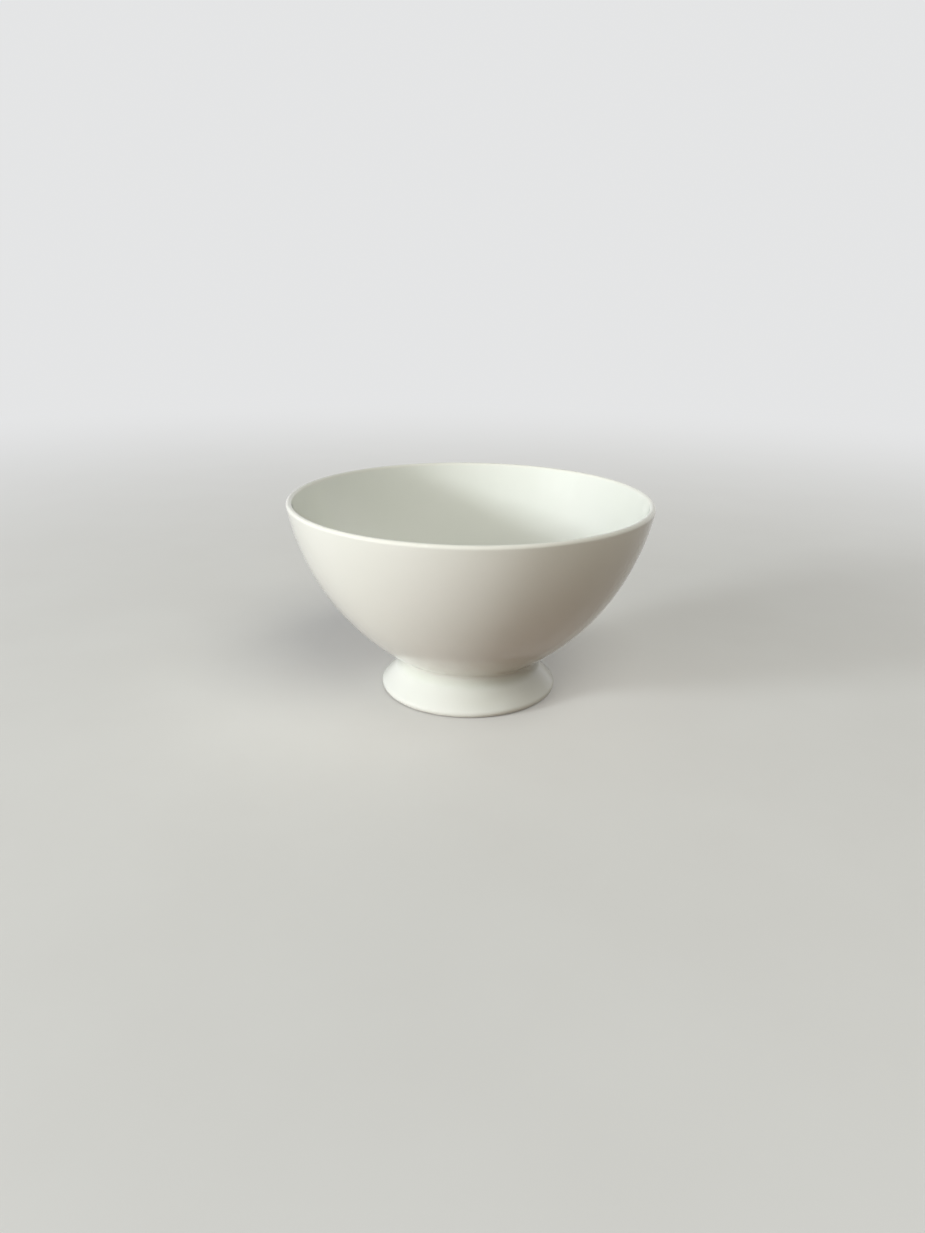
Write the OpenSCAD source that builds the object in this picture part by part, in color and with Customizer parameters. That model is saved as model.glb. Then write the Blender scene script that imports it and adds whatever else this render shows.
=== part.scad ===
// Footed latte bowl in glazed porcelain. Millimetres, standing on z = 0 with its axis on z.
// Every piece is a turned solid. One outline of the glazed bowl gives them all: the bare
// porcelain is that outline drawn in by the glaze, and the glaze is what lies between the two.

/* [Rim and belly] */
// Diameter over the outside of the lip
rim_d = 140; // [132:1:148]
// Height of the lip's top over the table
bowl_h = 77.5; // [73:0.5:84]
// Thickness of the rounded lip
lip_t = 2.3; // [1.8:0.1:3.2]
// Lean of the wall outwards at the lip, in degrees
lip_lean = 10.3; // [7:0.1:13]
// Radius of the upper belly, under the lip
belly_r = 93; // [88:0.5:100]
// Lean of the wall where the lower belly takes over, in degrees
low_lean = 20; // [16:1:26]

/* [Inside] */
// Thickness of the floor at its centre, glaze to glaze
floor_t = 4; // [3:0.1:6]
// Radius of the dished floor
floor_r = 55; // [44:1:58]

/* [Foot] */
// Diameter over the edge of the foot
foot_d = 70; // [64:0.5:76]
// Thickness of the foot's rounded edge
edge_t = 3.4; // [2.6:0.1:4.4]
// Slope of the flare from level, in degrees
flare_slope = 46; // [40:1:52]
// Height of the neck, the narrowest part, over the table
neck_h = 11.55; // [10.5:0.05:12.5]
// Radius of the cove at the neck, between the flare and the lower belly
cove_r = 4.5; // [3:0.1:6]
// Thickness of the foot's wall, square to the flare
foot_wall = 4.4; // [3.8:0.1:5.4]
// Radius of the foot ring's inner edge
ring_r = 1; // [0.6:0.1:1.4]
// Radius of the corner at the top of the hollow
hollow_r = 3; // [1.5:0.1:4]

/* [Joint and glaze] */
// How far the bowl's seat lies below the narrowest part of the cove
seat_drop = 1.2; // [0.6:0.1:2]
// Thickness of the joining slip
slip_t = 0.4; // [0.3:0.1:0.8]
// Thickness of the glaze
glaze_t = 0.3; // [0.2:0.05:0.4]
// Height of the bare foot ring, wiped clean of glaze
wiped_h = 0.5; // [0.45:0.05:0.9]

/* [Smoothness] */
// Sides of a full turn in the preview mesh
turn_sides = 240; // [120:20:360]

/* [Hidden] */

function ray(a) = [cos(a), sin(a)];
function unit(v) = v / norm(v);

// Radius of an arc that starts square to out and ends touching a circle of radius r. The
// vector v runs from that circle's centre to the start, and r is below 0 inside the arc.
function arc_r(v, out, r) = (v * v - r ^ 2) / (2 * (v * out + r));

// The lip, and the upper belly that runs down from it
lip_r = lip_t / 2;
lip_c = [rim_d / 2 - lip_r, bowl_h - lip_r];
lip_out = ray(-lip_lean);
belly_c = lip_c - (belly_r - lip_r) * lip_out;

// Where the lower belly takes over. It leans a hair less there, so that the two arcs cross
// cleanly, and each arc is drawn on past the crossing by the lap.
hair = 0.15;
lap = 0.4;
low_p = belly_c + belly_r * ray(-low_lean);
low_out = ray(hair - low_lean);

// The foot's edge, and the flare: flare_out is square to it and flare_up runs along it
edge_r = edge_t / 2;
edge_c = [foot_d / 2 - edge_r, edge_r];
flare_out = ray(90 - flare_slope);
flare_up = ray(180 - flare_slope);

// The cove touches the flare's line
cove_line = edge_c + (edge_r + cove_r) * flare_out;
cove_c = cove_line + (neck_h - cove_line.y) / flare_up.y * flare_up;

// The lower belly runs on from the upper one and touches the cove
low_r = arc_r(low_p - cove_c, low_out, cove_r);
low_c = low_p - low_r * low_out;
cove_in = unit(low_c - cove_c);

// The seat of the bowl on its foot, with the slip above and below it
seat_z = neck_h - seat_drop;
slip_top = seat_z + slip_t / 2;
slip_foot = seat_z - slip_t / 2;

// The hollow under the foot, its wall a step inside the flare
hollow_top = slip_top - glaze_t;
hollow_line = edge_c + (edge_r - foot_wall) * flare_out;
function line_x(p, z) = p.x - (z - p.y) * flare_out.y / flare_out.x;
ring_c = [line_x(hollow_line + ring_r * flare_out, ring_r), ring_r];
corner_z = hollow_top - hollow_r;
corner_c = [line_x(hollow_line - hollow_r * flare_out, corner_z), corner_z];

// The dished floor, and the wall arc that touches it and the lip
floor_z = hollow_top + floor_t;
floor_c = [0, floor_z + floor_r];
wall_r = arc_r(lip_c - lip_r * lip_out - floor_c, lip_out, -floor_r);
wall_c = lip_c - (wall_r + lip_r) * lip_out;
floor_out = unit(floor_c - wall_c);

// Past every outline
reach = rim_d + bowl_h;

// A slice of a disc between two directions, of at most a half turn. Its point is drawn back
// from the centre, so that it overlaps what it meets there.
module slice(c, r, from, to) {
  middle = (from + to) / 2;
  intersection() {
    translate(c) circle(r, $fn = turn_sides);
    polygon([c - r / 2 * ray(middle), c + r * ray(from), c + 2 * r * ray(from),
             c + 2 * r * ray(middle), c + 2 * r * ray(to), c + r * ray(to)]);
  }
}

// Everything between two heights
module band(low, high) {
  translate([0, low]) square([reach, high - low]);
}

// The room for coffee, grown by the inset of the outline round it
module inside_outline(inset) {
  slice(floor_c, floor_r + inset, -90, atan2(floor_out.y, floor_out.x));
  intersection() {
    translate(wall_c) circle(wall_r + inset, $fn = turn_sides);
    polygon([floor_c, floor_c + reach * floor_out, [reach, -reach], [reach, reach], [0, reach]]);
  }
}

// Height at which a line through p, along v, meets the axis
function line_top(p, v) = p.y - p.x * v.y / v.x;

// The belly from the cove up to the lip, still full: its upper arc, then its lower one
module belly_outline(inset, neck) {
  upper_end = ray(-low_lean - lap);
  lower_end = ray(-low_lean + lap);
  intersection() {
    translate(belly_c) circle(belly_r - inset, $fn = turn_sides);
    polygon([[0, neck.y], belly_c + (belly_r - lip_t) * upper_end, belly_c + reach * upper_end,
             lip_c + reach * lip_out, [0, line_top(lip_c, lip_out)]]);
  }
  intersection() {
    translate(low_c) circle(low_r - inset, $fn = turn_sides);
    polygon([[0, neck_h], cove_c + (cove_r + inset) * cove_in, cove_c, [reach, neck_h],
             low_c + reach * lower_end, [0, line_top(low_c, lower_end)]]);
  }
}

// The foot and the neck over it, hollow below
module foot_outline(inset, neck) {
  top = hollow_top + inset;
  difference() {
    polygon([
      ring_c, [ring_c.x, inset], [edge_c.x, inset], edge_c,
      edge_c + (edge_r - inset) * flare_out, cove_c - (cove_r + inset) * flare_out, cove_c,
      neck, [0, neck.y], [0, top], [corner_c.x, top], corner_c,
      corner_c + (hollow_r + inset) * flare_out, ring_c - (ring_r - inset) * flare_out
    ]);
    translate(cove_c) circle(cove_r + inset, $fn = turn_sides);
    slice(corner_c, hollow_r + inset, 90 - flare_slope, 90);
  }
  slice(edge_c, edge_r - inset, -90, 90 - flare_slope);
  slice(ring_c, ring_r - inset, 270 - flare_slope, 270);
}

// Half the bowl's section from the axis out, drawn in all round by the inset
module bowl_outline(inset) {
  neck = cove_c + 2 * cove_r * cove_in;
  difference() {
    union() {
      belly_outline(inset, neck);
      foot_outline(inset, neck);
    }
    inside_outline(inset);
  }
  slice(lip_c, lip_r - inset, -lip_lean, 180 - lip_lean);
}

// The glaze all over, wiped off the foot ring
module glaze_outline() {
  difference() {
    bowl_outline(0);
    bowl_outline(glaze_t);
    band(-wiped_h, wiped_h);
  }
}

// The side of the foot's wall that faces the hollow
module hollow_side() {
  middle = edge_c + (edge_r - foot_wall / 2) * flare_out;
  high = hollow_top + floor_t / 2;
  polygon([[0, -wiped_h], [line_x(middle, -wiped_h), -wiped_h], [line_x(middle, high), high],
           [0, high]]);
}

module turned() {
  rotate_extrude($fn = turn_sides) children();
}

module bowl_body() {
  color([0.94, 0.93, 0.89])
  turned() intersection() {
    bowl_outline(glaze_t);
    band(slip_top, reach);
  }
}

module pedestal_foot() {
  color([0.92, 0.91, 0.86])
  turned() {
    intersection() {
      bowl_outline(glaze_t);
      band(0, slip_foot);
    }
    intersection() {
      bowl_outline(0);
      band(0, wiped_h);
    }
  }
}

module luting_slip() {
  color([0.87, 0.85, 0.80])
  turned() intersection() {
    bowl_outline(glaze_t);
    band(slip_foot, slip_top);
  }
}

module glaze_coat() {
  color([0.95, 0.96, 0.93])
  turned() difference() {
    glaze_outline();
    hollow_side();
  }
}

module glaze_under_foot() {
  color([0.93, 0.95, 0.91])
  turned() intersection() {
    glaze_outline();
    hollow_side();
  }
}

bowl_body();
pedestal_foot();
luting_slip();
glaze_coat();
glaze_under_foot();
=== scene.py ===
import math
from collections import namedtuple

import bpy
from bpy.props import FloatProperty, FloatVectorProperty, IntProperty, PointerProperty
from mathutils import Matrix, Vector


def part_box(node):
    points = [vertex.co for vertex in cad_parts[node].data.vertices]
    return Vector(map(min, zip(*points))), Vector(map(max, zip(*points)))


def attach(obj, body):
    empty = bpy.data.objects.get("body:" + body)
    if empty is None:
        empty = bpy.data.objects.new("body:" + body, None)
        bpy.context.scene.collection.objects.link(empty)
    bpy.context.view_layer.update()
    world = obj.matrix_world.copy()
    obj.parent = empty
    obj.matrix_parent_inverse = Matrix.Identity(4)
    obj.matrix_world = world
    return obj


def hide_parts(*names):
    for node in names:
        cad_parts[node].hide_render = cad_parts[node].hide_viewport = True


bl_info = {
    "name": "Footed latte bowl",
    "version": (1, 0, 0),
    "blender": (4, 5, 0),
    "location": "3D View > Sidebar > Latte bowl",
    "description": "Throws, glazes and lights a footed latte bowl",
    "category": "Add Mesh",
}

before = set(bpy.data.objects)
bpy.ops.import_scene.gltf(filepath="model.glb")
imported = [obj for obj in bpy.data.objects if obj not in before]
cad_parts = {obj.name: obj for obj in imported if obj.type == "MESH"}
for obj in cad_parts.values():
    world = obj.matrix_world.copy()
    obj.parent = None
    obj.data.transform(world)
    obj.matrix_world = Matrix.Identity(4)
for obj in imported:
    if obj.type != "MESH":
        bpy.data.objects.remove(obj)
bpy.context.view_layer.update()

MM = 0.001
BODY = "root"
# The coat's box gives the width and height of the whole bowl
COAT_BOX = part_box("glaze_coat")

# Points of an outline closer than this become one
MERGE = 0.0005 * MM
# A pen starts as a small triangle that is merged to a point
PEN_R = 0.01 * MM
# The belly's two arcs meet at this angle, as in the solids
HAIR = math.radians(0.15)
# Faces that meet at less than this angle shade as one surface
SMOOTH_UNDER = math.radians(50)
# How far a bead of glaze is drawn round, up from its middle and down from it
BEAD_UP = math.radians(60)
BEAD_DOWN = math.radians(120)
# The middle of the coat's bead is this many of its radii over the wiped line, and the arc of
# the foot's edge stops this far short of it
BEAD_RISE = 0.8
BEAD_LEAD = math.radians(9)

UP = Vector((0, 0, 1))
# What all lights but the low strip aim at, and how far from their aims they stand
AIM = Vector((0, 0, 0.045))
ROOM_FAR = 2.0
WALL_FAR = 1.3
LOW_FAR = 1.3
CEILING_FAR = 2.2
# Radius of the floor, and how far out it starts and ends to run over into the backdrop
FLOOR_R = 4
BLEND_FROM = 0.08
BLEND_TO = 0.9

# The camera: its place, its turns, and its focal length and picture's height in pixels
CAMERA_AT = Vector((0, -0.350969, 0.157181))
CAMERA_YAW = math.radians(-0.423)
CAMERA_PITCH = math.radians(20.153)
CAMERA_ROLL = math.radians(0.704)
FOCAL_PX = 930
PICTURE_PX = 1233


class BowlSizes(bpy.types.PropertyGroup):
    """Sizes of the bowl's section. The frame gives the overall ones."""

    rim_d: FloatProperty(
        name="Rim", description="Diameter over the lip",
        default=2 * COAT_BOX[1].x, unit="LENGTH")
    bowl_h: FloatProperty(
        name="Height", description="Height of the lip's top over the table",
        default=COAT_BOX[1].z, unit="LENGTH")
    lip_t: FloatProperty(
        name="Lip", description="Thickness of the rounded lip",
        default=2.3 * MM, unit="LENGTH")
    lip_lean: FloatProperty(
        name="Lip's lean", description="Lean of the wall outwards at the lip",
        default=math.radians(10.3), unit="ROTATION")
    belly_r: FloatProperty(
        name="Upper belly", description="Radius of the upper belly, under the lip",
        default=93 * MM, unit="LENGTH")
    low_lean: FloatProperty(
        name="Lower belly's lean", description="Lean of the wall where the lower belly takes over",
        default=math.radians(20), unit="ROTATION")
    floor_t: FloatProperty(
        name="Floor", description="Thickness of the floor at its centre",
        default=4 * MM, unit="LENGTH")
    floor_r: FloatProperty(
        name="Dish", description="Radius of the dished floor",
        default=55 * MM, unit="LENGTH")
    foot_d: FloatProperty(
        name="Foot", description="Diameter over the foot's edge",
        default=70 * MM, unit="LENGTH")
    edge_t: FloatProperty(
        name="Foot's edge", description="Thickness of the foot's rounded edge",
        default=3.4 * MM, unit="LENGTH")
    flare_slope: FloatProperty(
        name="Flare", description="Slope of the foot's flare from level",
        default=math.radians(46), unit="ROTATION")
    neck_h: FloatProperty(
        name="Neck", description="Height of the neck, the narrowest part",
        default=11.55 * MM, unit="LENGTH")
    cove_r: FloatProperty(
        name="Cove", description="Radius of the cove at the neck",
        default=4.5 * MM, unit="LENGTH")
    foot_wall: FloatProperty(
        name="Foot's wall", description="Thickness of the foot's wall, square to the flare",
        default=4.4 * MM, unit="LENGTH")
    ring_r: FloatProperty(
        name="Ring's edge", description="Radius of the foot ring's inner edge",
        default=1 * MM, unit="LENGTH")
    hollow_r: FloatProperty(
        name="Hollow's corner", description="Radius of the corner at the top of the hollow",
        default=3 * MM, unit="LENGTH")
    seat_drop: FloatProperty(
        name="Seat's drop", description="How far the bowl's seat lies below the neck",
        default=1.2 * MM, unit="LENGTH")
    slip_t: FloatProperty(
        name="Slip", description="Thickness of the joining slip",
        default=0.4 * MM, unit="LENGTH")
    glaze_t: FloatProperty(
        name="Glaze", description="Thickness of the glaze",
        default=0.3 * MM, unit="LENGTH")
    wiped_h: FloatProperty(
        name="Wiped height", description="Height of the bare foot ring",
        default=0.5 * MM, unit="LENGTH")
    bead_r: FloatProperty(
        name="Bead", description="Radius of the rolled bead in which the glaze ends",
        default=0.2 * MM, unit="LENGTH")
    bead_proud: FloatProperty(
        name="Bead's height", description="How far the bead stands proud of the glaze",
        default=0.05 * MM, unit="LENGTH")
    ripple: FloatProperty(
        name="Ripple", description="Depth of the glaze's slow ripple",
        default=0.035 * MM, unit="LENGTH")
    ripple_l: FloatProperty(
        name="Ripple's length", description="Length of the glaze's slow ripple",
        default=14 * MM, unit="LENGTH")
    turn_steps: IntProperty(
        name="Steps", description="Steps of a full turn", default=256, min=48)


class BowlColours(bpy.types.PropertyGroup):
    """Colours of the glaze, the bare porcelain and the stage."""

    glaze: FloatVectorProperty(
        name="Glaze", description="Glaze over the porcelain",
        default=(0.795, 0.805, 0.755), subtype="COLOR", min=0, max=1)
    pooled: FloatVectorProperty(
        name="Pooled glaze", description="Glaze where it has run together",
        default=(0.690, 0.725, 0.640), subtype="COLOR", min=0, max=1)
    thin: FloatVectorProperty(
        name="Thin glaze", description="Glaze where it has drawn thin over the lip",
        default=(0.835, 0.825, 0.755), subtype="COLOR", min=0, max=1)
    speck: FloatVectorProperty(
        name="Speck", description="Iron speck in the glaze",
        default=(0.30, 0.24, 0.16), subtype="COLOR", min=0, max=1)
    clay: FloatVectorProperty(
        name="Bare porcelain", description="Fired porcelain with no glaze",
        default=(0.78, 0.745, 0.665), subtype="COLOR", min=0, max=1)
    # Grime rubbed into the bare ring, also used as painted contact shadow where the ring meets the
    # floor
    grime_and_shade: FloatVectorProperty(
        name="Rubbed ring", description="Grime that a table rubs into the bare ring",
        default=(0.25, 0.21, 0.16), subtype="COLOR", min=0, max=1)
    floor: FloatVectorProperty(
        name="Floor", description="The pale floor",
        default=(0.80, 0.79, 0.77), subtype="COLOR", min=0, max=1)
    floor_bounce: FloatVectorProperty(
        name="Floor's bounce", description="The floor as it lights the bowl",
        default=(0.19, 0.095, 0.03), subtype="COLOR", min=0, max=1)
    backdrop: FloatVectorProperty(
        name="Backdrop", description="The pale backdrop",
        default=(0.78, 0.785, 0.79), subtype="COLOR", min=0, max=1)
    fill: FloatVectorProperty(
        name="Fill", description="Light from all round",
        default=(0.10, 0.10, 0.095), subtype="COLOR", min=0, max=1)


class StageLights(bpy.types.PropertyGroup):
    """Where the lights stand. A turn is measured from the bowl's left round to the camera."""

    window_turn: FloatProperty(
        name="Window's turn", description="Turn of the window round the bowl",
        default=math.radians(24), unit="ROTATION")
    window_rise: FloatProperty(
        name="Window's rise", description="Height of the window over the table, as an angle",
        default=math.radians(13), unit="ROTATION")
    window_far: FloatProperty(
        name="Window's distance", description="Distance from the bowl to the window",
        default=1.7, unit="LENGTH")
    window_w: FloatProperty(
        name="Window's width", description="Width of the window's bright part",
        default=0.34, unit="LENGTH")
    window_h: FloatProperty(
        name="Window's height", description="Height of the window's bright part",
        default=0.22, unit="LENGTH")
    window_power: FloatProperty(
        name="Window", description="Power of the window's light", default=15.4, unit="POWER")
    window_colour: FloatVectorProperty(
        name="Window's colour", description="Colour of the window's light",
        default=(0.90, 0.97, 1.0), subtype="COLOR", min=0, max=1)
    pane_w: FloatProperty(
        name="Pane's width", description="Width of one window pane", default=0.24, unit="LENGTH")
    pane_h: FloatProperty(
        name="Pane's height", description="Height of one window pane",
        default=0.42, unit="LENGTH")
    bar_w: FloatProperty(
        name="Bar", description="Width of the bar between two panes",
        default=0.08, unit="LENGTH")
    glint: FloatProperty(
        name="Glint", description="Power of one pane, as it shows in the glaze",
        default=0.2, unit="POWER")
    glint_rise: FloatProperty(
        name="Glint's rise", description="Height of the panes as they show in the glaze",
        default=math.radians(14), unit="ROTATION")
    room_turn: FloatProperty(
        name="Room's turn", description="Turn of the room's soft light",
        default=math.radians(38), unit="ROTATION")
    room_rise: FloatProperty(
        name="Room's rise", description="Rise of the room's soft light",
        default=math.radians(11), unit="ROTATION")
    room_size: FloatProperty(
        name="Room's size", description="Size of the room's soft light",
        default=1.4, unit="LENGTH")
    room_power: FloatProperty(
        name="Room", description="Power of the room's soft light", default=20, unit="POWER")
    room_colour: FloatVectorProperty(
        name="Room's colour", description="Colour of the room's soft light",
        default=(1.0, 0.99, 0.97), subtype="COLOR", min=0, max=1)
    wall_turn: FloatProperty(
        name="Wall's turn", description="Turn of the pale wall that throws light back",
        default=math.radians(262), unit="ROTATION")
    wall_rise: FloatProperty(
        name="Wall's rise", description="Rise of the pale wall",
        default=math.radians(14), unit="ROTATION")
    wall_size: FloatProperty(
        name="Wall's size", description="Size of the pale wall", default=1.0, unit="LENGTH")
    wall_power: FloatProperty(
        name="Wall", description="Power of the wall's light", default=4, unit="POWER")
    wall_colour: FloatVectorProperty(
        name="Wall's colour", description="Colour of the wall's light",
        default=(1.0, 0.995, 0.97), subtype="COLOR", min=0, max=1)
    low_turn: FloatProperty(
        name="Low light's turn", description="Turn of the strip of light below the lip",
        default=math.radians(38), unit="ROTATION")
    low_h: FloatProperty(
        name="Low light's height",
        description="Height of the low strip, and of its middle over the table",
        default=0.035, unit="LENGTH")
    low_w: FloatProperty(
        name="Low light's width", description="Width of the strip of light below the lip",
        default=1.0, unit="LENGTH")
    low_power: FloatProperty(
        name="Low light", description="Power of the strip of light below the lip",
        default=2.2, unit="POWER")
    ceiling_turn: FloatProperty(
        name="Ceiling's turn", description="Turn of the lit ceiling",
        default=math.radians(122), unit="ROTATION")
    ceiling_rise: FloatProperty(
        name="Ceiling's rise", description="Rise of the lit ceiling",
        default=math.radians(54), unit="ROTATION")
    ceiling_size: FloatProperty(
        name="Ceiling's size", description="Size of the ceiling's soft light",
        default=1.5, unit="LENGTH")
    ceiling_power: FloatProperty(
        name="Ceiling", description="Power of the ceiling's soft light",
        default=22, unit="POWER")
    ceiling_colour: FloatVectorProperty(
        name="Ceiling's colour", description="Colour of the ceiling's soft light",
        default=(1.0, 1.0, 0.90), subtype="COLOR", min=0, max=1)


# One arc of an outline: side is 1 where the porcelain fills the circle, -1 where it surrounds it
Arc = namedtuple("Arc", "centre radius side start end steps")


def ray(angle):
    """The unit vector at an angle in the section: x outwards, z up."""
    return Vector((math.cos(angle), 0, math.sin(angle)))


def angle_of(v):
    return math.atan2(v.z, v.x)


def arc_radius(v, out, r):
    """Radius of an arc that starts square to out and ends touching a circle of radius r.

    v runs from that circle's centre to the start, and r is below 0 inside the arc."""
    return (v.dot(v) - r * r) / (2 * (v.dot(out) + r))


class Section:
    """The bowl's section, as arcs worked out from its sizes."""

    def __init__(self, s):
        self.s = s
        lip_r = s.lip_t / 2
        lip_c = Vector((s.rim_d / 2 - lip_r, 0, s.bowl_h - lip_r))
        lip_out = ray(-s.lip_lean)
        belly_c = lip_c - (s.belly_r - lip_r) * lip_out
        low_p = belly_c + s.belly_r * ray(-s.low_lean)
        low_out = ray(HAIR - s.low_lean)

        self.edge_r = s.edge_t / 2
        self.edge_c = Vector((s.foot_d / 2 - self.edge_r, 0, self.edge_r))
        flare_a = math.pi / 2 - s.flare_slope
        self.flare_out = ray(flare_a)
        flare_up = ray(math.pi - s.flare_slope)
        cove_line = self.edge_c + (self.edge_r + s.cove_r) * self.flare_out
        self.cove_c = cove_line + (s.neck_h - cove_line.z) / flare_up.z * flare_up
        low_r = arc_radius(low_p - self.cove_c, low_out, s.cove_r)
        low_c = low_p - low_r * low_out
        cove_in = (low_c - self.cove_c).normalized()

        seat = s.neck_h - s.seat_drop
        self.slip_foot = seat - s.slip_t / 2
        self.hollow_top = seat + s.slip_t / 2 - s.glaze_t
        hollow_line = self.edge_c + (self.edge_r - s.foot_wall) * self.flare_out
        self.ring_c = self.on_line(hollow_line + s.ring_r * self.flare_out, s.ring_r)
        self.corner_c = self.on_line(
            hollow_line - s.hollow_r * self.flare_out, self.hollow_top - s.hollow_r)

        floor_c = Vector((0, 0, self.hollow_top + s.floor_t + s.floor_r))
        wall_r = arc_radius(lip_c - lip_r * lip_out - floor_c, lip_out, -s.floor_r)
        wall_c = lip_c - (wall_r + lip_r) * lip_out
        floor_end = angle_of(floor_c - wall_c)

        # From the middle of the floor up the inside, over the lip and down the outside
        self.coat = [
            Arc(floor_c, s.floor_r, -1, -math.pi / 2, floor_end, 18),
            Arc(wall_c, wall_r, -1, floor_end, -s.lip_lean, 66),
            Arc(lip_c, lip_r, 1, math.pi - s.lip_lean, -s.lip_lean, 20),
            Arc(belly_c, s.belly_r, 1, -s.lip_lean, -s.low_lean, 14),
            Arc(low_c, low_r, 1, HAIR - s.low_lean, angle_of(-cove_in), 52),
            Arc(self.cove_c, s.cove_r, -1, angle_of(cove_in), math.pi + flare_a, 24),
            Arc(self.edge_c, self.edge_r, 1, flare_a, -math.pi / 2, 20),
        ]
        # The corner between the hollow's ceiling and its wall
        self.corner = Arc(self.corner_c, s.hollow_r, -1, math.pi / 2, flare_a, 14)

    def on_line(self, p, z):
        """Where the line through p, along the flare, has the height z."""
        return Vector((p.x - (z - p.z) * self.flare_out.z / self.flare_out.x, 0, z))

    def at_height(self, arc, z, inset=0):
        """The angle, left or right as the arc has it, at which the arc has the height z."""
        angle = math.asin((z - arc.centre.z) / (arc.radius - arc.side * inset))
        return angle if math.cos(arc.start) > 0 else math.pi - angle

    def hollow_wall(self, z, inset=0):
        """A point of the hollow's wall, at the height z."""
        return self.on_line(self.ring_c - (self.s.ring_r - inset) * self.flare_out, z)


class Pen:
    """Draws an outline in the XZ plane, one line or arc after another, and turns it."""

    def __init__(self, name, start):
        bpy.ops.object.select_all(action="DESELECT")
        bpy.ops.mesh.primitive_circle_add(vertices=3, radius=PEN_R, location=start)
        bpy.ops.object.transform_apply(location=True, rotation=True, scale=True)
        self.piece = bpy.context.object
        self.piece.name = name
        self.piece.data.name = name
        bpy.ops.object.mode_set(mode="EDIT")
        bpy.ops.mesh.select_mode(type="VERT")
        bpy.ops.mesh.select_all(action="SELECT")
        bpy.ops.mesh.merge(type="CENTER")
        self.at = Vector(start)

    def line(self, to, steps=1):
        step = (to - self.at) / steps
        for _ in range(steps):
            bpy.ops.mesh.extrude_vertices_move(TRANSFORM_OT_translate={"value": step})
        self.at = Vector(to)

    def arc(self, arc, inset=0, steps=None, backwards=False):
        """Draws an arc, drawn into the porcelain by the inset, after a line to its start."""
        start, end = (arc.end, arc.start) if backwards else (arc.start, arc.end)
        radius = arc.radius - arc.side * inset
        first = arc.centre + radius * ray(start)
        if (first - self.at).length > MERGE:
            self.line(first)
        bpy.ops.mesh.spin(
            steps=steps or arc.steps, angle=end - start, center=arc.centre, axis=(0, 1, 0))
        self.at = arc.centre + radius * ray(end)

    def turn(self, steps):
        """Turns the outline about the axis, closes its seam and poles, and smooths it."""
        bpy.ops.mesh.select_all(action="SELECT")
        bpy.ops.mesh.spin(steps=steps, angle=math.tau, center=(0, 0, 0), axis=(0, 0, 1))
        bpy.ops.mesh.select_all(action="SELECT")
        bpy.ops.mesh.remove_doubles(threshold=MERGE)
        bpy.ops.mesh.normals_make_consistent(inside=False)
        bpy.ops.object.mode_set(mode="OBJECT")
        bpy.ops.object.shade_smooth_by_angle(angle=SMOOTH_UNDER)
        return self.piece


class Wire:
    """An output socket of a material's node. Sums and products of wires add Math nodes."""

    def __init__(self, finish, socket):
        self.finish = finish
        self.socket = socket

    def other(self, name):
        """Another output of the same node."""
        return Wire(self.finish, self.socket.node.outputs[name])

    def maths(self, operation, *values):
        return self.finish.node("ShaderNodeMath", {"operation": operation}, values)

    def __add__(self, other):
        return self.maths("ADD", self, other)

    def __radd__(self, other):
        return self.maths("ADD", other, self)

    def __sub__(self, other):
        return self.maths("SUBTRACT", self, other)

    def __rsub__(self, other):
        return self.maths("SUBTRACT", other, self)

    def __mul__(self, other):
        return self.maths("MULTIPLY", self, other)

    def __rmul__(self, other):
        return self.maths("MULTIPLY", other, self)

    def __pow__(self, other):
        return self.maths("POWER", self, other)


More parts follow.
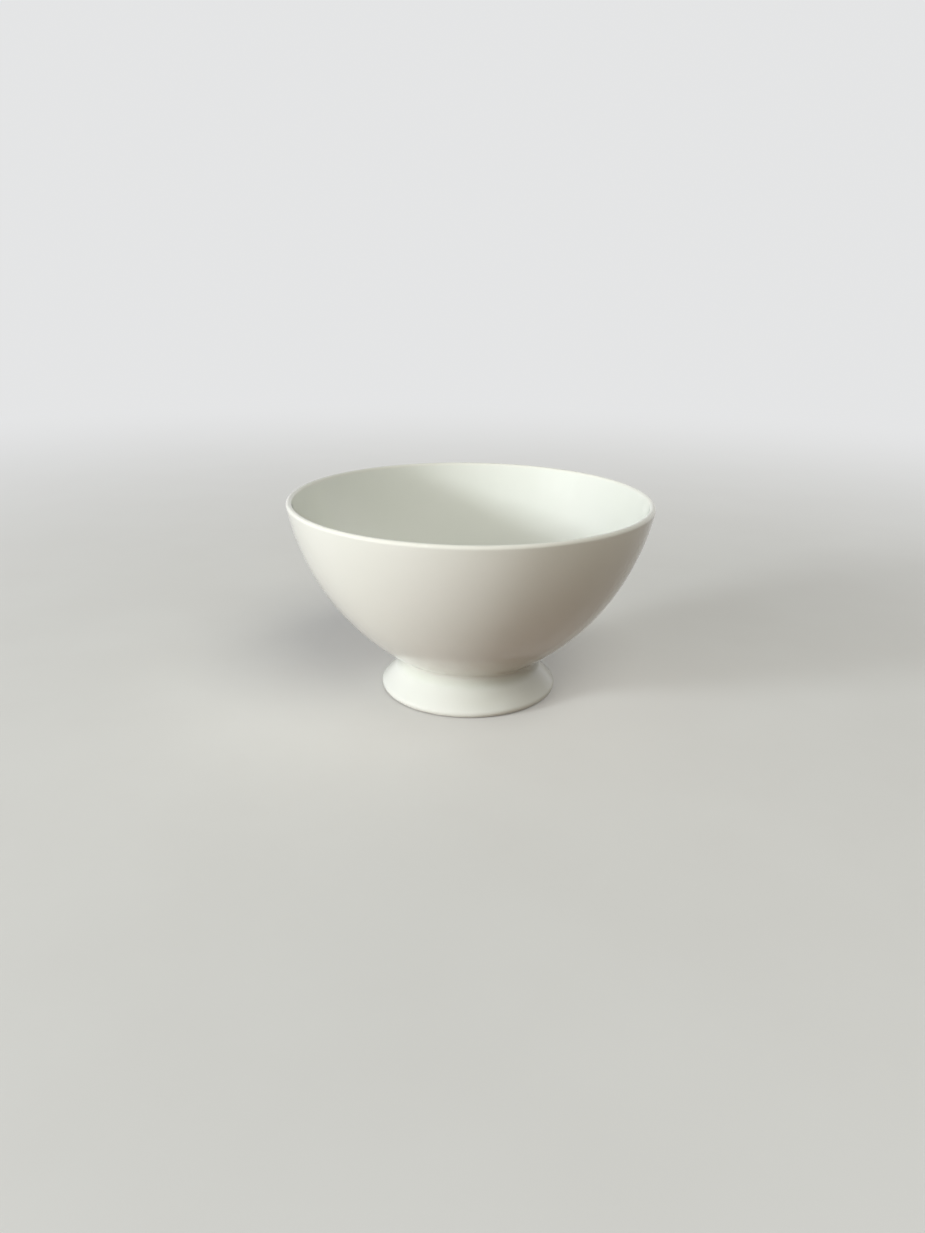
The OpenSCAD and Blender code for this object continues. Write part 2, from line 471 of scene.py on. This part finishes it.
class Finish:
    """The nodes of a material or world under construction."""

    def __init__(self, holder):
        self.holder = holder
        holder.use_nodes = True
        self.tree = holder.node_tree
        self.tree.nodes.clear()

    def read_place(self):
        """Adds the nodes that read Object coordinates, for the patterns."""
        self.place = self.node("ShaderNodeTexCoord", output="Object")
        self.x = self.node("ShaderNodeSeparateXYZ", inputs=[self.place], output="X")
        self.y = self.x.other("Y")
        self.z = self.x.other("Z")
        self.r = (self.x ** 2 + self.y ** 2) ** 0.5
        return self

    def node(self, kind, settings=None, inputs=(), output=0):
        """Adds a node: its settings first, then its sockets' values or wires by place or name."""
        made = self.tree.nodes.new(kind)
        for key, value in (settings or {}).items():
            setattr(made, key, value)
        pairs = inputs.items() if isinstance(inputs, dict) else enumerate(inputs)
        for key, value in pairs:
            socket = made.inputs[key]
            if isinstance(value, Wire):
                self.tree.links.new(value.socket, socket)
            elif hasattr(value, "__len__") and len(value) == 3 and socket.type == "RGBA":
                socket.default_value = (*value, 1)
            else:
                socket.default_value = value
        return Wire(self, made.outputs[output]) if made.outputs else made

    def noise(self, length, detail):
        """Noise from 0 to 1 whose features are about this long, in metres."""
        return self.node(
            "ShaderNodeTexNoise", {},
            {"Vector": self.place, "Scale": 1 / length, "Detail": detail})

    def fade(self, value, low, high, to_low=0.0, to_high=1.0):
        """A smooth step from to_low at low to to_high at high."""
        return self.node(
            "ShaderNodeMapRange", {"interpolation_type": "SMOOTHSTEP"},
            {"Value": value, "From Min": low, "From Max": high, "To Min": to_low,
             "To Max": to_high})

    def mix(self, factor, first, second):
        """Two colours mixed. Each is a wire or three numbers."""
        # The sockets are given by their numbers, because the node also has sockets of the same
        # names for numbers and vectors
        return self.node("ShaderNodeMix", {"data_type": "RGBA"},
                         {0: factor, 6: first, 7: second}, output=2)

    def specks(self, spacing, size, share):
        """Round specks of about this size, on a share of the cells of a loose grid."""
        cells = {"Vector": self.place, "Scale": 1 / spacing}
        near = self.node("ShaderNodeTexVoronoi", {}, cells, output="Distance")
        chance = self.node("ShaderNodeSeparateColor", inputs=[near.other("Color")], output="Red")
        dot = self.fade(near, 0.5 * size / spacing, size / spacing, 1.0, 0.0)
        return dot * self.fade(chance, share, 0.9 * share)

    def relief(self, height):
        """A normal from heights in millimetres."""
        return self.node(
            "ShaderNodeBump", {}, {"Strength": 1.0, "Distance": MM, "Height": height},
            output="Normal")

    def surface(self, constants, **varying):
        """Ends the tree in a Principled shader: constants on its sockets, wires into others."""
        shader = self.node(
            "ShaderNodeBsdfPrincipled", {},
            {**constants, **{k.replace("_", " "): v for k, v in varying.items()}})
        self.node("ShaderNodeOutputMaterial", {}, {"Surface": shader})
        return self.holder


def new_finish(name):
    """A new material's nodes, with its patterns' coordinates."""
    return Finish(bpy.data.materials.new(name)).read_place()


def glaze_finish(name, colours, pool, thin):
    """Clear glaze over white porcelain. pool and thin make the masks of its depth."""
    f = new_finish(name)
    cloud = f.noise(length=28 * MM, detail=3)
    flow = f.noise(length=6 * MM, detail=2)
    depth = pool(f) * f.fade(flow + cloud, 0.5, 1.3, 0.55, 1.0)
    colour = f.mix(f.fade(cloud, 0.3, 0.7, 0.0, 0.14), colours.glaze, colours.pooled)
    colour = f.mix(depth, colour, colours.pooled)
    colour = f.mix(thin(f), colour, colours.thin)
    iron = f.specks(spacing=22 * MM, size=0.16 * MM, share=0.12)
    pinhole = f.specks(spacing=17 * MM, size=0.14 * MM, share=0.1)
    colour = f.mix(iron * 0.5, colour, colours.speck)
    # The peel is the fine unevenness that a fired glaze keeps
    peel = f.noise(length=2.6 * MM, detail=1)
    grain = f.noise(length=0.5 * MM, detail=2)
    height = peel * 0.010 + grain * 0.0012 - pinhole * 0.02 - iron * 0.006
    return f.surface(
        {"IOR": 1.5, "Specular IOR Level": 0.1, "Coat Roughness": 0.006, "Coat IOR": 1.6},
        Base_Color=colour,
        Roughness=f.fade(flow, 0.3, 0.7, 0.30, 0.36),
        Coat_Weight=1.0 - f.fade(grain, 0.35, 0.65, 0.0, 0.03) - pinhole * 0.5,
        Normal=f.relief(height))


def clay_finish(name, colour, grime_and_shade, wear_and_shade_h):
    """Fired porcelain with no glaze: fine grain, turning marks, and a band up to the given height
    that darkens towards the table, partly grime and partly painted contact shadow.
    """
    f = new_finish(name)
    grain = f.noise(length=0.35 * MM, detail=3)
    cloud = f.noise(length=9 * MM, detail=3)
    marks = f.node(
        "ShaderNodeTexNoise", {"noise_dimensions": "1D"},
        {"W": f.r, "Scale": 1 / (0.3 * MM), "Detail": 2.0})
    # Darker towards the table: rubbed grime, and painted contact shadow where the ring meets the
    # floor
    rubbed_and_shaded = f.fade(f.z, 0.3 * wear_and_shade_h, wear_and_shade_h, 1.0, 0.0)
    rubbed_and_shaded = rubbed_and_shaded * f.fade(cloud + grain * 0.4, 0.45, 0.95, 0.45, 1.0)
    tone = f.mix(f.fade(grain, 0.3, 0.7, 0.0, 0.25), colour, grime_and_shade)
    tone = f.mix(rubbed_and_shaded * f.fade(marks, 0.35, 0.6, 0.5, 0.9), tone, grime_and_shade)
    height = grain * 0.015 + marks * 0.012
    return f.surface(
        {"IOR": 1.5, "Specular IOR Level": 0.35},
        Base_Color=tone,
        Roughness=f.fade(cloud, 0.3, 0.7, 0.62, 0.78) - rubbed_and_shaded * 0.18,
        Normal=f.relief(height))


def coat_masks(sizes):
    """Masks of where the outer coat has pooled and where it is thin."""
    section = Section(sizes)
    neck_r, neck_z = section.cove_c.x, sizes.neck_h
    floor_z = section.hollow_top + sizes.floor_t
    wiped_z = sizes.wiped_h

    def pool(f):
        in_cove = f.fade(f.r, neck_r - 2 * MM, neck_r, 1.0, 0.0)
        in_cove = in_cove * f.fade(f.z, neck_z - 3.55 * MM, neck_z - 1.05 * MM)
        in_cove = in_cove * f.fade(f.z, neck_z - 0.05 * MM, neck_z + 3.45 * MM, 1.0, 0.0)
        on_floor = f.fade(f.r, 8 * MM, 30 * MM, 1.0, 0.0)
        on_floor = on_floor * f.fade(f.z, floor_z - 0.45 * MM, floor_z - 0.05 * MM)
        at_edge = f.fade(f.z, wiped_z + 0.4 * MM, wiped_z + 1.1 * MM, 1.0, 0.0)
        return in_cove * 0.75 + on_floor * 0.45 + at_edge * 0.4

    def thin(f):
        return f.fade(f.z, sizes.bowl_h - 1.4 * MM, sizes.bowl_h - 0.2 * MM, 0.0, 0.85)

    return pool, thin


def hollow_masks(sizes):
    """Masks of the glaze in the hollow: it pools in the corner, and is thin at the bead."""
    seat_z, wiped_z = sizes.neck_h - sizes.seat_drop, sizes.wiped_h

    def pool(f):
        in_corner = f.fade(f.r, 14 * MM, 21 * MM, 0.3, 0.9)
        return f.fade(f.z, seat_z - 5 * MM, seat_z - 1.5 * MM) * in_corner

    def thin(f):
        return f.fade(f.z, wiped_z + 0.7 * MM, wiped_z + 2.5 * MM, 0.5, 0.0)

    return pool, thin


def weigh(piece, name, weight_of):
    """Adds a vertex group whose weights are a function of a point's place."""
    group = piece.vertex_groups.new(name=name)
    for v in piece.data.vertices:
        weight = weight_of(v.co)
        if weight > 0:
            group.add([v.index], weight, "REPLACE")
    return group.name


def smooth_step(value, low, high):
    t = min(1.0, max(0.0, (value - low) / (high - low)))
    return t * t * (3 - 2 * t)


def ripple(piece, name, length, depth, direction, weight_of):
    """Moves the surface by slow noise, where the weights allow it."""
    bpy.ops.object.select_all(action="DESELECT")
    piece.select_set(True)
    bpy.context.view_layer.objects.active = piece
    waves = bpy.data.textures.new(name, "CLOUDS")
    waves.noise_scale = length
    waves.noise_depth = 1
    modifier = piece.modifiers.new(name, "DISPLACE")
    modifier.texture = waves
    modifier.texture_coords = "LOCAL"
    modifier.direction = direction
    modifier.strength = depth
    modifier.mid_level = 0.5
    modifier.vertex_group = weigh(piece, name, weight_of)
    bpy.ops.object.modifier_apply(modifier=name)


def finish_piece(piece, material, slot, *nodes):
    """Gives a piece its material and its place in the frame."""
    piece.data.materials.clear()
    piece.data.materials.append(material)
    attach(piece, BODY)
    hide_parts(*nodes)


class LATTEBOWL_OT_coat(bpy.types.Operator):
    """Turn the glaze over the bowl and the outside of its foot"""

    bl_idname = "lattebowl.coat"
    bl_label = "Glaze coat"

    def execute(self, context):
        sizes = context.scene.bowl_sizes
        section = Section(sizes)
        glaze = sizes.glaze_t
        floor, edge = section.coat[0], section.coat[-1]
        bead_z = sizes.wiped_h + BEAD_RISE * sizes.bead_r
        bead_a = section.at_height(edge, bead_z)
        bead_c = edge.centre + (edge.radius + sizes.bead_proud - sizes.bead_r) * ray(bead_a)
        bead = Arc(bead_c, sizes.bead_r, 1, bead_a + BEAD_UP, bead_a - BEAD_DOWN, 10)
        short_edge = edge._replace(end=bead_a + BEAD_LEAD, steps=14)

        pen = Pen("glaze_skin", floor.centre - floor.radius * UP)
        for arc in section.coat[:-1]:
            pen.arc(arc)
        pen.line(edge.centre + edge.radius * ray(edge.start), steps=6)
        pen.arc(short_edge)
        pen.arc(bead)
        # The hidden skin, against the porcelain
        inner_end = section.at_height(edge, sizes.wiped_h, glaze)
        pen.arc(edge._replace(end=inner_end, steps=6), glaze, backwards=True)
        for arc in reversed(section.coat[:-1]):
            pen.arc(arc, glaze, steps=arc.steps // 2, backwards=True)
        piece = pen.turn(sizes.turn_steps)

        lip_z, neck_z, wiped_z = sizes.bowl_h, sizes.neck_h, sizes.wiped_h
        ripple(
            piece, "ripple", length=sizes.ripple_l, depth=sizes.ripple, direction="NORMAL",
            weight_of=lambda p: smooth_step(p.z, neck_z + 12 * MM, neck_z + 22 * MM)
            * (1 - smooth_step(p.z, lip_z - 5 * MM, lip_z - 1.5 * MM)))
        ripple(
            piece, "wipe", length=5 * MM, depth=0.2 * MM, direction="Z",
            weight_of=lambda p: 1 - smooth_step(p.z, wiped_z + 0.1 * MM, wiped_z + 0.6 * MM))
        material = glaze_finish(
            "glaze_over_all", context.scene.bowl_colours, *coat_masks(sizes))
        finish_piece(piece, material, "glaze", "glaze_coat")
        return {"FINISHED"}


class LATTEBOWL_OT_hollow(bpy.types.Operator):
    """Turn the glaze in the hollow under the foot"""

    bl_idname = "lattebowl.hollow"
    bl_label = "Glaze under the foot"

    def execute(self, context):
        sizes = context.scene.bowl_sizes
        section = Section(sizes)
        glaze = sizes.glaze_t
        corner = section.corner
        top = Vector((0, 0, section.hollow_top))
        wall_in = -section.flare_out
        bead_at = section.hollow_wall(sizes.wiped_h + sizes.bead_r)
        bead_c = bead_at + (sizes.bead_proud - sizes.bead_r) * wall_in
        bead_a = angle_of(wall_in)
        bead = Arc(bead_c, sizes.bead_r, 1, bead_a - BEAD_UP, bead_a + BEAD_DOWN, 10)

        pen = Pen("glaze_hollow_skin", top)
        pen.line(Vector((corner.centre.x, 0, top.z)), steps=12)
        pen.arc(corner)
        pen.line(section.hollow_wall(bead_at.z + sizes.bead_r), steps=14)
        pen.arc(bead)
        pen.line(section.hollow_wall(sizes.wiped_h, glaze))
        pen.arc(corner, glaze, steps=8, backwards=True)
        pen.line(top + glaze * UP, steps=6)
        piece = pen.turn(sizes.turn_steps)

        wiped_z = sizes.wiped_h
        ripple(
            piece, "ripple", length=7 * MM, depth=0.06 * MM, direction="NORMAL",
            weight_of=lambda p: smooth_step(p.z, wiped_z + 1.5 * MM, wiped_z + 3.5 * MM))
        ripple(
            piece, "wipe", length=4 * MM, depth=0.25 * MM, direction="Z",
            weight_of=lambda p: 1 - smooth_step(p.z, wiped_z + 0.2 * MM, wiped_z + 0.8 * MM))
        material = glaze_finish(
            "glaze_in_hollow", context.scene.bowl_colours, *hollow_masks(sizes))
        finish_piece(piece, material, "glaze_hollow", "glaze_under_foot")
        return {"FINISHED"}


class LATTEBOWL_OT_foot(bpy.types.Operator):
    """Turn the porcelain foot, whose ring is left bare"""

    bl_idname = "lattebowl.foot"
    bl_label = "Foot"

    def execute(self, context):
        sizes = context.scene.bowl_sizes
        section = Section(sizes)
        glaze = sizes.glaze_t
        edge, cove, corner = section.coat[-1], section.coat[-2], section.corner
        bare_end = section.at_height(edge, sizes.wiped_h)
        glazed_end = section.at_height(edge, sizes.wiped_h, glaze)
        neck_end = section.at_height(cove, section.slip_foot, glaze)
        corner_end = section.at_height(corner, section.slip_foot, glaze)
        ring = Arc(section.ring_c, sizes.ring_r, 1, math.pi + edge.start, 1.5 * math.pi, 8)

        pen = Pen("foot_clay", section.ring_c - sizes.ring_r * UP)
        pen.line(edge.centre - edge.radius * UP, steps=6)
        pen.arc(edge._replace(end=bare_end, start=-math.pi / 2, steps=6))
        pen.arc(edge._replace(end=glazed_end, steps=10), glaze, backwards=True)
        pen.arc(cove._replace(start=neck_end, steps=8), glaze, backwards=True)
        pen.arc(corner._replace(start=corner_end, steps=4), glaze)
        pen.line(section.hollow_wall(sizes.wiped_h, glaze), steps=6)
        pen.line(section.hollow_wall(sizes.wiped_h))
        pen.arc(ring)
        piece = pen.turn(sizes.turn_steps)

        colours = context.scene.bowl_colours
        material = clay_finish(
            "bare_ring", colours.clay, colours.grime_and_shade, wear_and_shade_h=sizes.wiped_h)
        finish_piece(piece, material, "bare_foot", "pedestal_foot")
        return {"FINISHED"}


class LATTEBOWL_OT_clay(bpy.types.Operator):
    """Finish the porcelain and the slip that the glaze covers"""

    bl_idname = "lattebowl.clay"
    bl_label = "Covered porcelain"

    def execute(self, context):
        colours = context.scene.bowl_colours
        for node, tint in (("bowl_body", 1.05), ("luting_slip", 0.94)):
            colour = [min(1.0, tint * c) for c in colours.clay]
            material = clay_finish(node + "_clay", colour, colours.grime_and_shade, wear_and_shade_h=0.1 * MM)
            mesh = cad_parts[node].data
            mesh.materials.clear()
            mesh.materials.append(material)
        return {"FINISHED"}


def toward(turn, rise):
    """The way to a light, turned from the bowl's left round to the camera."""
    return Vector((-math.cos(turn) * math.cos(rise), -math.sin(turn) * math.cos(rise),
                   math.sin(rise)))


def add_light(name, at, aim, width, height, power, colour, mirrored=False):
    """A rectangular light that looks at a point. A mirrored one shows only in the glaze."""
    bpy.ops.object.light_add(type="AREA", location=at)
    lamp = bpy.context.object
    lamp.name = name
    lamp.rotation_euler = (aim - at).to_track_quat("-Z", "Y").to_euler()
    lamp.data.shape = "RECTANGLE"
    lamp.data.size = width
    lamp.data.size_y = height
    lamp.data.energy = power
    lamp.data.color = colour
    lamp.visible_camera = False
    lamp.visible_glossy = mirrored
    lamp.visible_diffuse = not mirrored


def seen_directly(f):
    """1 for rays that show the stage itself: straight, mirrored or through glass."""
    straight = f.node("ShaderNodeLightPath", output="Is Camera Ray")
    mirrored = straight.maths("MAXIMUM", straight, straight.other("Is Glossy Ray"))
    return mirrored.maths("MAXIMUM", mirrored, straight.other("Is Transmission Ray"))


class LATTEBOWL_OT_stage(bpy.types.Operator):
    """Set the pale floor, the window light, the backdrop and the camera"""

    bl_idname = "lattebowl.stage"
    bl_label = "Stage"

    def execute(self, context):
        colours = context.scene.bowl_colours
        self.floor(colours)
        self.backdrop(context, colours)
        self.lights(context)
        self.camera(context)
        context.scene.view_settings.view_transform = "Standard"
        return {"FINISHED"}

    def floor(self, colours):
        bpy.ops.object.select_all(action="DESELECT")
        # A hair below the bowl's ring, so that the two share no plane
        bpy.ops.mesh.primitive_circle_add(
            vertices=96, radius=FLOOR_R, fill_type="NGON", location=(0, 0, -0.02 * MM))
        floor = bpy.context.object
        floor.name = "floor"
        f = new_finish("pale_floor")
        grain = f.noise(length=60 * MM, detail=4)
        pale = f.mix(f.fade(grain, 0.3, 0.7, 0.0, 0.03), colours.floor, colours.floor_bounce)
        shown = f.mix(seen_directly(f), colours.floor_bounce, pale)
        near = f.node(
            "ShaderNodeBsdfPrincipled", {},
            {"Roughness": 0.9, "Specular IOR Level": 0.1, "Base Color": shown})
        # Far out the floor runs over into the backdrop
        far = f.node("ShaderNodeEmission", {}, {"Color": tuple(colours.backdrop)})
        factor = f.fade(f.r, BLEND_FROM, BLEND_TO, 0.15, 1.0) * seen_directly(f)
        f.node("ShaderNodeOutputMaterial", {}, {
            "Surface": f.node("ShaderNodeMixShader", {}, [factor, near, far])})
        floor.data.materials.append(f.holder)

    def backdrop(self, context, colours):
        world = bpy.data.worlds.new("studio")
        context.scene.world = world
        f = Finish(world)
        shown = f.mix(seen_directly(f), colours.fill, colours.backdrop)
        light = f.node("ShaderNodeBackground", {}, {"Color": shown, "Strength": 1.0})
        f.node("ShaderNodeOutputWorld", {}, {"Surface": light})

    def lights(self, context):
        lights = context.scene.stage_lights
        way = toward(lights.window_turn, lights.window_rise)
        add_light("window", AIM + lights.window_far * way, AIM, lights.window_w,
                  lights.window_h, lights.window_power, lights.window_colour)
        way = toward(lights.window_turn, lights.glint_rise)
        across = Vector((-way.y, way.x, 0)).normalized()
        step = lights.pane_w + lights.bar_w
        for place, name in ((-1, "pane_left"), (0, "pane_middle"), (1, "pane_right")):
            aim = AIM + place * step * across
            add_light(name, aim + lights.window_far * way, aim, lights.pane_w, lights.pane_h,
                      lights.glint, lights.window_colour, mirrored=True)
        way = toward(lights.room_turn, lights.room_rise)
        add_light("room", AIM + ROOM_FAR * way, AIM, lights.room_size, lights.room_size / 2,
                  lights.room_power, lights.room_colour)
        way = toward(lights.wall_turn, lights.wall_rise)
        add_light("wall", AIM + WALL_FAR * way, AIM, lights.wall_size, lights.wall_size / 2,
                  lights.wall_power, lights.wall_colour)
        # A strip that stays below the lip, so that it lights the outside alone
        aim = Vector((0, 0, lights.low_h))
        way = toward(lights.low_turn, 0)
        add_light("low", aim + LOW_FAR * way, aim, lights.low_w, lights.low_h,
                  lights.low_power, lights.room_colour)
        way = toward(lights.ceiling_turn, lights.ceiling_rise)
        add_light("ceiling", AIM + CEILING_FAR * way, AIM, lights.ceiling_size,
                  lights.ceiling_size, lights.ceiling_power, lights.ceiling_colour)

    def camera(self, context):
        level = Vector((math.cos(CAMERA_YAW), -math.sin(CAMERA_YAW), 0))
        ahead = Vector((math.sin(CAMERA_YAW), math.cos(CAMERA_YAW), 0))
        forward = math.cos(CAMERA_PITCH) * ahead - math.sin(CAMERA_PITCH) * UP
        up = level.cross(forward)
        right = math.cos(CAMERA_ROLL) * level + math.sin(CAMERA_ROLL) * up
        upright = math.cos(CAMERA_ROLL) * up - math.sin(CAMERA_ROLL) * level
        turn = Matrix((right, upright, -forward)).transposed().to_4x4()
        bpy.ops.object.camera_add()
        camera = bpy.context.object
        camera.matrix_world = Matrix.Translation(CAMERA_AT) @ turn
        camera.data.sensor_width = 36
        camera.data.lens = FOCAL_PX / PICTURE_PX * camera.data.sensor_width
        camera.data.clip_start = 0.01
        camera.data.clip_end = 20
        context.scene.camera = camera


class LATTEBOWL_PT_panel(bpy.types.Panel):
    """Sizes, colours and steps of the latte bowl"""

    bl_label = "Latte bowl"
    bl_idname = "LATTEBOWL_PT_panel"
    bl_space_type = "VIEW_3D"
    bl_region_type = "UI"
    bl_category = "Latte bowl"

    def draw(self, context):
        layout = self.layout
        for operator in STEPS:
            layout.operator(operator.bl_idname)
        scene = context.scene
        for group in (scene.bowl_sizes, scene.bowl_colours, scene.stage_lights):
            box = layout.box()
            for name in group.__annotations__:
                box.prop(group, name)


STEPS = (LATTEBOWL_OT_coat, LATTEBOWL_OT_hollow, LATTEBOWL_OT_foot, LATTEBOWL_OT_clay,
         LATTEBOWL_OT_stage)
CLASSES = (BowlSizes, BowlColours, StageLights, *STEPS, LATTEBOWL_PT_panel)


def register():
    for each in CLASSES:
        bpy.utils.register_class(each)
    bpy.types.Scene.bowl_sizes = PointerProperty(type=BowlSizes)
    bpy.types.Scene.bowl_colours = PointerProperty(type=BowlColours)
    bpy.types.Scene.stage_lights = PointerProperty(type=StageLights)


def unregister():
    del bpy.types.Scene.bowl_sizes
    del bpy.types.Scene.bowl_colours
    del bpy.types.Scene.stage_lights
    for each in reversed(CLASSES):
        bpy.utils.unregister_class(each)


def main():
    register()
    bpy.ops.lattebowl.coat()
    bpy.ops.lattebowl.hollow()
    bpy.ops.lattebowl.foot()
    bpy.ops.lattebowl.clay()
    bpy.ops.lattebowl.stage()


if __name__ == "__main__":
    main()
